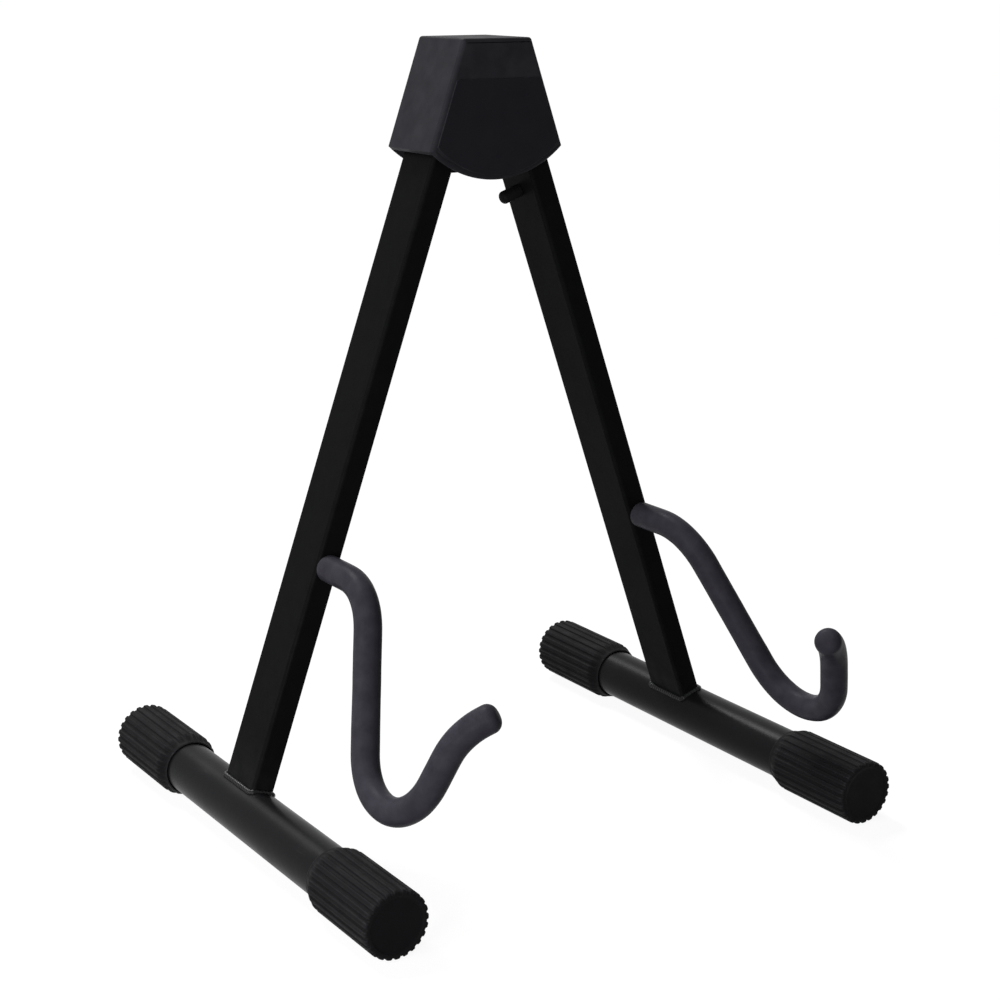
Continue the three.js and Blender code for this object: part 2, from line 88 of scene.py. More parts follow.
class End(Enum):
    """Which end of a foot a cap closes, as the sign of its Y."""

    FRONT = -1
    BACK = 1


class Meeting(Enum):
    """What one piece does to another that it meets."""

    CUT = "DIFFERENCE"
    JOIN = "UNION"


# ---- Finishes ---------------------------------------------------------------------------


class Draft:
    """A material's nodes while they are being wired."""

    def __init__(self, name: str, roughness: float, index: float = 1.5, metallic: float = 0.0) -> None:
        """Starts a material whose even values sit on the shader's own sockets.

        Args:
            name: The material's name.
            roughness: Roughness, unless a pattern is wired to it later.
            index: Refractive index of the skin, which sets how much it mirrors.
            metallic: 1 for bare metal, else 0.
        """
        self.material = bpy.data.materials.new(name)
        self.material.use_nodes = True
        self.tree = self.material.node_tree
        self.shader = next(n for n in self.tree.nodes if n.type == "BSDF_PRINCIPLED")
        self.shader.inputs["Roughness"].default_value = roughness
        self.shader.inputs["IOR"].default_value = index
        self.shader.inputs["Metallic"].default_value = metallic
        self.place = self.node("ShaderNodeTexCoord").outputs["Object"]

    def node(self, kind: str, **settings: object) -> bpy.types.Node:
        """Adds a node.

        Args:
            kind: The node's type.
            settings: Properties to set on it.

        Returns:
            The new node.
        """
        made = self.tree.nodes.new(kind)
        for key, value in settings.items():
            setattr(made, key, value)
        return made

    def stretched(self, scale: Sequence[float]) -> Socket:
        """Object coordinates scaled along each axis.

        Args:
            scale: The three scales.

        Returns:
            The coordinates.
        """
        mapping = self.node("ShaderNodeMapping")
        mapping.inputs["Scale"].default_value = scale
        self.tree.links.new(self.place, mapping.inputs["Vector"])
        return mapping.outputs["Vector"]

    def clouds(self, size: float, detail: float = 3.0, where: Socket | None = None) -> Socket:
        """A soft noise.

        Args:
            size: Width of one patch, in metres.
            detail: How many finer layers it has.
            where: Coordinates to use in place of the object's.

        Returns:
            The noise's value.
        """
        made = self.node("ShaderNodeTexNoise")
        made.inputs["Scale"].default_value = 1 / size
        made.inputs["Detail"].default_value = detail
        self.tree.links.new(where or self.place, made.inputs["Vector"])
        return made.outputs["Fac"]

    def pits(self, size: float) -> Socket:
        """Distance from the middle of scattered cells.

        Args:
            size: Width of one cell, in metres.

        Returns:
            The distance, 0 at each middle.
        """
        made = self.node("ShaderNodeTexVoronoi")
        made.inputs["Scale"].default_value = 1 / size
        self.tree.links.new(self.place, made.inputs["Vector"])
        return made.outputs["Distance"]

    def spread(self, value: Socket, low: float, high: float, to_low: float, to_high: float) -> Socket:
        """Maps a value from one range to another, held at both ends.

        Args:
            value: The value to map.
            low: Where the first range starts.
            high: Where the first range ends.
            to_low: Result at low.
            to_high: Result at high.

        Returns:
            The mapped value.
        """
        made = self.node("ShaderNodeMapRange")
        for name, number in (("From Min", low), ("From Max", high), ("To Min", to_low), ("To Max", to_high)):
            made.inputs[name].default_value = number
        self.tree.links.new(value, made.inputs["Value"])
        return made.outputs["Result"]

    def tint(self, share: Socket, first: Colour, second: Colour) -> Socket:
        """A colour between two others.

        Args:
            share: 0 gives the first colour and 1 the second.
            first: Linear colour.
            second: Linear colour.

        Returns:
            The mixed colour.
        """
        made = self.node("ShaderNodeMix", data_type="RGBA")
        ends = [s for s in made.inputs if s.type == "RGBA"]
        for socket, colour in zip(ends, (first, second)):
            socket.default_value = (*colour, 1)
        self.tree.links.new(share, made.inputs[0])
        return next(s for s in made.outputs if s.type == "RGBA")

    def combine(self, first: Socket, second: Socket | float, how: str = "ADD") -> Socket:
        """Joins two values by arithmetic.

        Args:
            first: First value.
            second: Second value, a socket or a number.
            how: The operation's name.

        Returns:
            The result, held between 0 and 1.
        """
        made = self.node("ShaderNodeMath", operation=how, use_clamp=True)
        self.tree.links.new(first, made.inputs[0])
        if isinstance(second, float):
            made.inputs[1].default_value = second
        else:
            self.tree.links.new(second, made.inputs[1])
        return made.outputs["Value"]

    def edges(self, start: float, end: float) -> Socket:
        """1 along the outer edges of the mesh and 0 on its flats, between two values of pointiness."""
        return self.spread(self.node("ShaderNodeNewGeometry").outputs["Pointiness"], start, end, 0, 1)

    def mottle(self, size: float, least: float, most: float, detail: float = 3.0) -> Socket:
        """A soft noise with patches of a given size, spread over the whole of a range."""
        return self.spread(self.clouds(size, detail), 0.3, 0.7, least, most)

    def wear(self, start: float, end: float, size: float, least: float, detail: float = 3.0) -> Socket:
        """Wear along the outer edges, patchy: from the least to 1 in patches of a given size."""
        return self.combine(self.edges(start, end), self.mottle(size, least, 1, detail), "MULTIPLY")

    def dust(self, size: float, start: float, end: float, most: float) -> Socket:
        """Patches of dust on the faces that look up.

        Args:
            size: Width of one patch, in metres.
            start: Noise where a patch begins.
            end: Noise where it is at its thickest.
            most: Share of dust there.

        Returns:
            The dust's share.
        """
        split = self.node("ShaderNodeSeparateXYZ")
        self.tree.links.new(self.node("ShaderNodeNewGeometry").outputs["Normal"], split.inputs[0])
        upward = self.spread(split.outputs["Z"], 0.55, 1.0, 0, 1)
        return self.combine(upward, self.spread(self.clouds(size, 6), start, end, 0, most), "MULTIPLY")

    def bump(self, height: Socket, depth: float, under: Socket | None = None) -> Socket:
        """Relief on the surface.

        Args:
            height: Height pattern, 0 to 1.
            depth: Depth of the full pattern, in metres.
            under: An earlier relief that this one lies on.

        Returns:
            The bent normal.
        """
        made = self.node("ShaderNodeBump")
        made.inputs["Distance"].default_value = depth
        made.inputs["Strength"].default_value = 1.0
        self.tree.links.new(height, made.inputs["Height"])
        if under is not None:
            self.tree.links.new(under, made.inputs["Normal"])
        return made.outputs["Normal"]

    def wire(self, colour: Socket, roughness: Socket, normal: Socket) -> Finish:
        """Links the finished patterns to the shader.

        Args:
            colour: Base colour.
            roughness: Roughness.
            normal: Bent normal.

        Returns:
            The finished material.
        """
        for name, socket in (("Base Color", colour), ("Roughness", roughness), ("Normal", normal)):
            self.tree.links.new(socket, self.shader.inputs[name])
        return self.material


@dataclass(frozen=True)
class PowderCoat:
    """Black powder coat: an even satin skin with a fine pebble, rubbed smoother along the edges."""

    name: str = "powder_coat"
    colour: Colour = (0.0042, 0.0042, 0.0043)
    rubbed: Colour = (0.0100, 0.0100, 0.0104)
    pebble: float = 0.0011
    pebble_depth: float = 0.00003
    index: float = 1.055

    def make(self) -> Finish:
        """Builds the material.

        Returns:
            The finished material.
        """
        draft = Draft(self.name, 0.45, self.index)
        edge = draft.wear(0.503, 0.54, 0.006, 0.3)
        pale = draft.combine(edge, draft.dust(0.012, 0.45, 0.75, 0.6))
        base = draft.tint(pale, self.colour, self.rubbed)
        polish = draft.spread(edge, 0, 1, 0, 0.08)
        roughness = draft.combine(draft.mottle(0.045, 0.40, 0.52, 5), polish, "SUBTRACT")
        fine = draft.bump(draft.clouds(self.pebble, 4), self.pebble_depth)
        normal = draft.bump(draft.clouds(0.02, 2), 0.00012, fine)
        return draft.wire(base, roughness, normal)


@dataclass(frozen=True)
class GlossPaint:
    """Black enamel on the round tube: glossier than the legs, with a faint orange peel and hairlines."""

    name: str = "gloss_paint"
    colour: Colour = (0.0070, 0.0070, 0.0077)
    scuffed: Colour = (0.0140, 0.0140, 0.0150)
    peel: float = 0.0028
    peel_depth: float = 0.00004
    index: float = 1.12

    def make(self) -> Finish:
        """Builds the material.

        Returns:
            The finished material.
        """
        draft = Draft(self.name, 0.3, self.index)
        lines = draft.clouds(0.004, 4, draft.stretched((14.0, 0.35, 14.0)))
        scuffs = draft.spread(draft.combine(lines, draft.clouds(0.03), "MULTIPLY"), 0.34, 0.48, 0, 1)
        base = draft.tint(scuffs, self.colour, self.scuffed)
        roughness = draft.combine(draft.mottle(0.03, 0.27, 0.36, 4), draft.spread(scuffs, 0, 1, 0, 0.16))
        peel = draft.bump(draft.clouds(self.peel, 2), self.peel_depth)
        return draft.wire(base, roughness, draft.bump(draft.clouds(0.0007, 2), 0.00001, peel))


@dataclass(frozen=True)
class WeldCoat:
    """Coat that has flowed over a weld bead: nearly the legs' black, with a painted highlight that makes the
    crests lighter.
    """

    name: str = "weld_coat"
    colour: Colour = (0.0065, 0.0065, 0.0070)
    # painted highlight: the lighter colour that the bead's crests take
    crest: Colour = (0.0110, 0.0110, 0.0118)
    index: float = 1.22

    def make(self) -> Finish:
        """Builds the material.

        Returns:
            The finished material.
        """
        draft = Draft(self.name, 0.28, self.index)
        # the crests get the painted highlight colour, picked out by pointiness
        base = draft.tint(draft.edges(0.50, 0.60), self.colour, self.crest)
        roughness = draft.mottle(0.002, 0.22, 0.4, 4)
        return draft.wire(base, roughness, draft.bump(draft.clouds(0.0009, 3), 0.00005))


@dataclass(frozen=True)
class SparkPlastic:
    """Moulded head plastic with a fine spark-eroded texture and slightly polished edges."""

    name: str = "spark_plastic"
    colour: Colour = (0.0125, 0.0120, 0.0150)
    polished: Colour = (0.0280, 0.0272, 0.0320)
    spark: float = 0.00055
    spark_depth: float = 0.00003
    index: float = 1.10

    def make(self) -> Finish:
        """Builds the material.

        Returns:
            The finished material.
        """
        draft = Draft(self.name, 0.5, self.index)
        edge = draft.wear(0.505, 0.56, 0.009, 0.45)
        pale = draft.combine(edge, draft.dust(0.008, 0.42, 0.72, 0.35))
        base = draft.tint(pale, self.colour, self.polished)
        polish = draft.spread(edge, 0, 1, 0, 0.12)
        roughness = draft.combine(draft.mottle(0.02, 0.46, 0.58, 4), polish, "SUBTRACT")
        grain = draft.bump(draft.clouds(self.spark, 3), self.spark_depth)
        return draft.wire(base, roughness, draft.bump(draft.clouds(0.025, 1), 0.00015, grain))


@dataclass(frozen=True)
class CapRubber:
    """Ribbed rubber of the foot caps: matte, greyer where the ribs rub."""

    name: str = "cap_rubber"
    colour: Colour = (0.0060, 0.0059, 0.0066)
    rubbed: Colour = (0.0330, 0.0326, 0.0355)
    index: float = 1.12

    def make(self) -> Finish:
        """Builds the material.

        Returns:
            The finished material.
        """
        draft = Draft(self.name, 0.62, self.index)
        base = draft.tint(draft.wear(0.515, 0.59, 0.004, 0.4, 5), self.colour, self.rubbed)
        roughness = draft.mottle(0.009, 0.55, 0.7, 5)
        return draft.wire(base, roughness, draft.bump(draft.clouds(0.0005, 4), 0.00003))


@dataclass(frozen=True)
class FoamSkin:
    """Closed-cell foam rubber: a mottled, fine-pored skin of a slightly bluish black."""

    name: str = "foam_skin"
    colour: Colour = (0.0280, 0.0266, 0.0340)
    worn: Colour = (0.0380, 0.0364, 0.0455)
    pore: float = 0.00045
    pore_depth: float = 0.00004
    index: float = 1.075

    def make(self) -> Finish:
        """Builds the material.

        Returns:
            The finished material.
        """
        draft = Draft(self.name, 0.5, self.index)
        base = draft.tint(draft.spread(draft.clouds(0.007, 6), 0.35, 0.7, 0, 1), self.colour, self.worn)
        roughness = draft.mottle(0.012, 0.32, 0.40, 4)
        pores = draft.bump(draft.spread(draft.pits(self.pore), 0.0, 0.45, 0, 1), self.pore_depth)
        return draft.wire(base, roughness, draft.bump(draft.clouds(0.005, 3), 0.00014, pores))


@dataclass(frozen=True)
class ZincPlate:
    """Bright zinc on the folded bracket and its fixings, cloudy and finely rolled."""

    name: str = "zinc_plate"
    colour: Colour = (0.42, 0.43, 0.45)
    cloud: Colour = (0.56, 0.57, 0.58)

    def make(self) -> Finish:
        """Builds the material.

        Returns:
            The finished material.
        """
        draft = Draft(self.name, 0.35, metallic=1.0)
        base = draft.tint(draft.spread(draft.clouds(0.006, 5), 0.35, 0.65, 0, 1), self.colour, self.cloud)
        roughness = draft.mottle(0.002, 0.28, 0.44)
        rolled = draft.clouds(0.0008, 2, draft.stretched((1.0, 1.0, 0.05)))
        return draft.wire(base, roughness, draft.bump(rolled, 0.00001))


@dataclass(frozen=True)
class BlackOxide:
    """Oiled black oxide on the cover screws."""

    name: str = "black_oxide"
    colour: Colour = (0.012, 0.012, 0.013)
    bright: Colour = (0.060, 0.060, 0.062)

    def make(self) -> Finish:
        """Builds the material.

        Returns:
            The finished material.
        """
        draft = Draft(self.name, 0.35, metallic=0.6)
        base = draft.tint(draft.edges(0.51, 0.6), self.colour, self.bright)
        roughness = draft.mottle(0.0012, 0.28, 0.45)
        return draft.wire(base, roughness, draft.bump(draft.clouds(0.0004, 2), 0.00001))


@dataclass(frozen=True)
class NaturalNylon:
    """Milky nylon of the washers and leg plugs."""

    name: str = "natural_nylon"
    colour: Colour = (0.60, 0.58, 0.52)
    greased: Colour = (0.40, 0.38, 0.33)

    def make(self) -> Finish:
        """Builds the material.

        Returns:
            The finished material.
        """
        draft = Draft(self.name, 0.45)
        base = draft.tint(draft.spread(draft.clouds(0.004, 4), 0.4, 0.7, 0, 1), self.colour, self.greased)
        roughness = draft.mottle(0.003, 0.38, 0.55)
        return draft.wire(base, roughness, draft.bump(draft.clouds(0.0006, 2), 0.00001))


# ---- Mesh tools -------------------------------------------------------------------------


def new_piece(name: str, verts: Sequence[Sequence[float]], faces: Sequence[Sequence[int]]) -> Piece:
    """Makes a mesh object whose vertices are in the row frame.

    Args:
        name: The piece's name.
        verts: Its points.
        faces: Its faces, as indices of points.

    Returns:
        The new object, its normals facing out.
    """
    mesh = bpy.data.meshes.new(name)
    mesh.from_pydata([tuple(map(float, v)) for v in verts], [], faces)
    work = bmesh.new()
    work.from_mesh(mesh)
    bmesh.ops.remove_doubles(work, verts=work.verts, dist=1e-7)
    bmesh.ops.recalc_face_normals(work, faces=work.faces)
    work.to_mesh(mesh)
    work.free()
    piece = bpy.data.objects.new(name, mesh)
    bpy.context.scene.collection.objects.link(piece)
    return piece


def skin(rings: int, count: int, closed: bool = False) -> list[tuple[int, ...]]:
    """The faces between a row of rings.

    Args:
        rings: How many rings there are.
        count: Points in each ring.
        closed: Whether the last ring joins the first.

    Returns:
        The faces, as indices of points.
    """
    return [(i * count + j, i * count + (j + 1) % count,
             (i + 1) % rings * count + (j + 1) % count, (i + 1) % rings * count + j)
            for i in range(rings if closed else rings - 1) for j in range(count)]


def loft(name: str, rings: Sequence[np.ndarray]) -> Piece:
    """Skins a row of rings and closes both ends with a face.

    Args:
        name: The piece's name.
        rings: Rings with the same number of points.

    Returns:
        The closed piece.
    """
    count = len(rings[0])
    ends = [tuple(reversed(range(count))), tuple((len(rings) - 1) * count + j for j in range(count))]
    return new_piece(name, np.concatenate(rings), ends + skin(len(rings), count))


def moved(points: np.ndarray, place: Matrix) -> np.ndarray:
    """Points carried from a local frame to the row frame."""
    matrix = np.array(place)
    return points @ matrix[:3, :3].T + matrix[:3, 3]


def round_angles(facets: int) -> np.ndarray:
    """The angles of a circle's points."""
    return np.linspace(0, 2 * np.pi, facets, endpoint=False)


def hoops(profile: Sequence[tuple[float, float]], facets: int, place: Matrix) -> list[np.ndarray]:
    """The round rings of a turned piece.

    Args:
        profile: Pairs of radius and height along the turning axis, radii above 0.
        facets: Facets round the axis.
        place: Where the axis lies: local Z is the axis.

    Returns:
        One ring for each pair.
    """
    angles = round_angles(facets)
    return [moved(np.stack([r * np.cos(angles), r * np.sin(angles), np.full(facets, z)], 1), place)
            for r, z in profile]


def turned(name: str, profile: Sequence[tuple[float, float]], facets: int, place: Matrix) -> Piece:
    """A turned piece closed at both ends, from pairs of radius, above 0, and height along local Z."""
    return loft(name, hoops(profile, facets, place))


def unit(rows: np.ndarray) -> np.ndarray:
    """Directions, one in each row, scaled to a length of 1."""
    return rows / np.linalg.norm(rows, axis=1)[:, None]


def travelled(line: np.ndarray) -> np.ndarray:
    """How far along a line each of its points lies."""
    return np.concatenate([[0], np.cumsum(np.linalg.norm(np.diff(line, axis=0), axis=1))])


def points_at(line: np.ndarray, at: np.ndarray) -> np.ndarray:
    """The points of a line at given distances along it, one row each."""
    travel = travelled(line)
    return np.stack([np.interp(at, travel, line[:, k]) for k in range(3)], 1)


def rounded(corners: Sequence[tuple[float, float, float]], steps: int) -> np.ndarray:
    """A closed outline with rounded corners.

    Args:
        corners: Each corner as two coordinates and its radius, anticlockwise.
        steps: Pieces in each corner's arc.

    Returns:
        The outline's points, one row each.
    """
    points = []
    for i, (x, y, radius) in enumerate(corners):
        here = np.array([x, y])
        before = np.array(corners[i - 1][:2]) - here
        after = np.array(corners[(i + 1) % len(corners)][:2]) - here
        before, after = before / np.linalg.norm(before), after / np.linalg.norm(after)
        half = math.acos(np.clip(before @ after, -1, 1)) / 2
        middle = (before + after) / np.linalg.norm(before + after)
        centre = here + middle * radius / math.sin(half)
        first = here + before * radius / math.tan(half) - centre
        turn = math.pi - 2 * half
        for step in range(steps + 1):
            angle = turn * step / steps
            spin = np.array([[math.cos(angle), -math.sin(angle)], [math.sin(angle), math.cos(angle)]])
            points.append(centre + spin @ first)
    return np.array(points)


def rounded_off(radius: float, share: float) -> float:
    """How far a rounded end has drawn in, when a share of its radius is used up."""
    return radius * (1 - math.sqrt(max(0.0, 1 - share * share)))


def settle(piece: Piece) -> None:
    """Makes a piece's modifiers part of its mesh.

    Args:
        piece: The piece.
    """
    graph = bpy.context.evaluated_depsgraph_get()
    mesh = bpy.data.meshes.new_from_object(piece.evaluated_get(graph), depsgraph=graph)
    piece.modifiers.clear()
    old, piece.data = piece.data, mesh
    bpy.data.meshes.remove(old)


def meet(piece: Piece, tool: Piece, how: Meeting) -> None:
    """Cuts a piece with another, or joins the other to it. The other is used up.

    Args:
        piece: The piece that stays.
        tool: The piece that is used up.
        how: Whether to cut or join.
    """
    modifier = piece.modifiers.new("meet", "BOOLEAN")
    modifier.operation, modifier.solver, modifier.object = how.value, "EXACT", tool
    settle(piece)
    bpy.data.objects.remove(tool)


def soften(piece: Piece, width: float, segments: int, angle: float) -> None:
    """Breaks every sharp edge with a small round.

    Args:
        piece: The piece.
        width: Width of the round.
        segments: Strips across it.
        angle: Least angle of an edge that counts as sharp, in degrees.
    """
    modifier = piece.modifiers.new("soften", "BEVEL")
    modifier.width, modifier.segments, modifier.limit_method = width, segments, "ANGLE"
    modifier.angle_limit = math.radians(angle)
    settle(piece)


def shade(piece: Piece, angle: float = 40.0, weighted: bool = False) -> Piece:
    """Smooth shading with sharp edges above an angle.

    Args:
        piece: The piece.
        angle: Edges sharper than this stay sharp, in degrees.
        weighted: Whether large flat faces keep their own normals.

    Returns:
        The same piece.
    """
    piece.data.shade_smooth()
    piece.data.set_sharp_from_angle(angle=math.radians(angle))
    if weighted:
        modifier = piece.modifiers.new("weighted", "WEIGHTED_NORMAL")
        modifier.keep_sharp = True
        settle(piece)
    return piece


def show(
    piece: Piece, body: str, finish: Finish, stands_for: Sequence[str] = ()
) -> Piece:
    """Finishes a piece and lets it ride on its body.

    Args:
        piece: The finished mesh.
        body: CAD body that carries it.
        finish: Its material.
        stands_for: CAD nodes that it replaces.

    Returns:
        The same piece.
    """
    piece.data.materials.clear()
    piece.data.materials.append(finish)
    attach(piece, body)
    if stands_for:
        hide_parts(*stands_for)
    LOG.info("%s rides on %s, %d faces", piece.name, body, len(piece.data.polygons))
    return piece


def dress(node: str, finish: Finish) -> None:
    """Gives a carried-over CAD node its finish.

    Args:
        node: The node's name.
        finish: Its material.
    """
    piece = frame["nodes"][node]
    if not piece.material_slots:
        piece.data.materials.append(finish)
    for socket in piece.material_slots:
        socket.link = "OBJECT"
        socket.material = finish
    LOG.info("%s is dressed as %s", node, finish.name)


@dataclass(frozen=True)
class LegPlace:
    """Where one leg stands. Its frame has Z up the leg, Y to the back and the origin on the foot's axis."""

    side: Side
    pivot: Vector
    foot: Vector

    @staticmethod
    def read(side: Side) -> "LegPlace":
        """Finds a leg from its joint and its foot tube.

        Args:
            side: Which leg.

        Returns:
            The leg's place.
        """
        joint = next(j for j in frame["joints"] if j["child"] == side.body)
        low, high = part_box(f"{side.word}_foot_tube")
        pivot = Vector(joint["pos_m"])
        middle = (low + high) / 2
        return LegPlace(side, pivot, Vector((middle.x, pivot.y, middle.z)))

    @property
    def length(self) -> float:
        """From the foot's axis to the pivot."""
        return (self.pivot - self.foot).length

    @property
    def matrix(self) -> Matrix:
        """Carries points from the leg's frame to the row frame.

        Returns:
            The matrix.
        """
        up = (self.pivot - self.foot).normalized()
        across = ALONG_Y.cross(up)
        turn = Matrix((across, ALONG_Y, up)).transposed()
        return Matrix.Translation(self.foot) @ turn.to_4x4()


# ---- Head -------------------------------------------------------------------------------


@dataclass(frozen=True)
class PanScrew:
    """Sizes of a pan-head screw with a cross recess."""

    rise: float = 0.0019
    rim_share: float = 0.35
    dome_turn: float = 1.45
    dome_steps: int = 9
    shank: float = 0.0015
    point: float = 0.0012
    recess_depth: float = 0.0011
    recess_above: float = 0.0010
    recess_foot: float = 0.0009
    recess_mouth: float = 0.0021
    recess_width: float = 0.3
    turn: float = 0.35
    facets: int = 48


@dataclass
class Head:
    """The moulded cover that holds the leg pivots, with the steel bracket and the screws in it."""

    lean: float
    above_pivot: float = 0.0168
    below_pivot: float = 0.0340
    apron_drop: float = 0.0143
    side_offset: float = 0.0119
    wall: float = 0.0020
    face_wall: float = 0.0018
    edge: float = 0.0022
    top_corner: float = 0.0016
    panel_proud: float = 0.0006
    panel_inset: float = 0.0022
    panel_below_pivot: float = 0.0015
    panel_edge_share: float = 0.7
    hollow_below: float = 0.03
    hollow_drop: float = 0.001
    hollow_edge: float = 0.0004
    soft_edge: float = 0.00035
    steps: int = 6
    arc_steps: int = 40
    screw_form: PanScrew = PanScrew()

    @property
    def pivot(self) -> tuple[float, float]:
        """How far the pivots lie from the middle, and their height."""
        places = [joint["pos_m"] for joint in frame["joints"]]
        return max(abs(place[0]) for place in places), places[0][2]

    def outline(self, offset: float, top: float, bottom: float, drop: float) -> np.ndarray:
        """Outline in X and Z: flat top, sides parallel to the legs, bottom edge bowed down.

        Args:
            offset: From a leg's middle to the side, at right angles.
            top: Height of the top.
            bottom: Height of the lower corners.
            drop: How far the bottom edge dips below them.

        Returns:
            The outline's points, anticlockwise.
        """
        pivot_x, pivot_z = self.pivot

        def half(z: float) -> float:
            """Half the width at a height."""
            return pivot_x + (pivot_z - z) * math.tan(self.lean) + offset / math.cos(self.lean)

        wide = half(bottom)
        radius = (wide**2 + drop**2) / (2 * drop)
        swing = math.asin(wide / radius)
        middle = bottom - drop + radius
        upper = rounded([(wide, bottom, SHARP), (half(top), top, self.top_corner),
                         (-half(top), top, self.top_corner), (-wide, bottom, SHARP)], self.steps)
        angles = np.linspace(-QUARTER - swing, -QUARTER + swing, self.arc_steps)
        arc = np.stack([radius * np.cos(angles), middle + radius * np.sin(angles)], 1)
        return np.concatenate([arc, upper[self.steps + 1: -(self.steps + 1)]])

    def slab(self, name: str, outline: np.ndarray, front: float, back: float, edge: float) -> Piece:
        """A thick plate of an outline, its front and back edges rounded.

        Args:
            name: The piece's name.
            outline: Points in X and Z.
            front: Y of its front.
            back: Y of its back.
            edge: Radius of the rounding.

        Returns:
            The closed piece.
        """
        ahead, behind = unit(np.roll(outline, -1, 0) - outline), unit(outline - np.roll(outline, 1, 0))
        along = ahead + behind
        inward = unit(np.stack([-along[:, 1], along[:, 0]], 1))
        stretch = 1 / np.clip((inward * np.stack([-ahead[:, 1], ahead[:, 0]], 1)).sum(1), 0.5, 1)
        turns = [QUARTER * step / self.steps for step in range(self.steps, -1, -1)]
        near = [(front + edge * (1 - math.sin(turn)), edge * (1 - math.cos(turn))) for turn in turns]
        far = [(front + back - y, inset) for y, inset in reversed(near)]
        rings = []
        for y, inset in near + far:
            flat = outline + inward * (inset * stretch)[:, None]
            rings.append(np.stack([flat[:, 0], np.full(len(flat), y), flat[:, 1]], 1))
        return loft(name, rings)

    def cover(self) -> Piece:
        """The hollow cover, open underneath, with the raised lower panel on both faces.

        Returns:
            The cover.
        """
        low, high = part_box("head_cover")
        pivot_z = self.pivot[1]
        front, back = low.y + self.panel_proud, high.y - self.panel_proud
        top, corner = pivot_z + self.above_pivot, pivot_z - self.below_pivot
        outside = self.outline(self.side_offset, top, corner, self.apron_drop)
        cover = self.slab("head_shell", outside, front, back, self.edge)
        panel = self.outline(self.side_offset - self.panel_inset, pivot_z - self.panel_below_pivot,
                             corner + self.panel_inset, self.apron_drop)
        sunk, edge = self.face_wall / 2, self.panel_proud * self.panel_edge_share
        for name, near, far in (("front", low.y, front + sunk), ("back", back - sunk, high.y)):
            meet(cover, self.slab(f"panel_{name}", panel, near, far, edge), Meeting.JOIN)
        hollow = self.outline(
            self.side_offset - self.wall, top - self.wall, corner - self.hollow_below, self.hollow_drop)
        inside = self.slab("hollow", hollow, front + self.face_wall, back - self.face_wall, self.hollow_edge)
        meet(cover, inside, Meeting.CUT)
        soften(cover, self.soft_edge, 2, 38)
        return shade(cover, 42, True)

    def screw(self, level: str) -> Piece:
        """A pan-head cross-recess screw in the back of the cover.

        Args:
            level: Which of the two screws, as in its node's name.

        Returns:
            The screw.
        """
        form = self.screw_form
        low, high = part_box(f"{level}_cover_screw")
        middle, radius, rise = (low + high) / 2, (high.x - low.x) / 2, form.rise
        seat = high.y - rise
        place = Matrix.Translation((middle.x, seat, middle.z)) @ Matrix.Rotation(-QUARTER, 4, "X")
        dome = [(radius * math.cos(a), rise * form.rim_share + rise * (1 - form.rim_share) * math.sin(a))
                for a in np.linspace(0, form.dome_turn, form.dome_steps)]
        profile = [(form.shank * 0.5, low.y - seat), (form.shank, low.y - seat + form.point),
                   (form.shank, -LIP), (form.shank * 1.1, 0), (radius, 0), *dome]
        made = turned(f"{level}_back_screw", profile, form.facets, place)
        recess = [(form.recess_foot, rise - form.recess_depth), (form.recess_mouth, rise + form.recess_above)]
        for turn in (form.turn, form.turn + QUARTER):
            slot = place @ Matrix.Rotation(turn, 4, "Z") @ Matrix.Diagonal((1, form.recess_width, 1, 1))
            meet(made, turned("recess", recess, 4, slot), Meeting.CUT)
        return shade(made, 35)

    def build(self, plastic: Finish, zinc: Finish, oxide: Finish, nylon: Finish) -> None:
        """Builds and dresses the head.

        Args:
            plastic: The cover's finish.
            zinc: Finish of the bracket, its posts and the rivets.
            oxide: The screws' finish.
            nylon: The washers' finish.
        """
        show(self.cover(), "head", plastic, ["head_cover"])
        for level in ("upper", "lower"):
            show(self.screw(level), "head", oxide, [f"{level}_cover_screw"])
            dress(f"{level}_bracket_post", zinc)
        for node in ("bracket_pan", "bracket_plate"):
            dress(node, zinc)
        for side in Side:
            dress(f"{side.word}_pivot_rivet", zinc)
            for place in ("front", "back"):
                dress(f"{side.word}_{place}_washer", nylon)


# ---- Leg --------------------------------------------------------------------------------


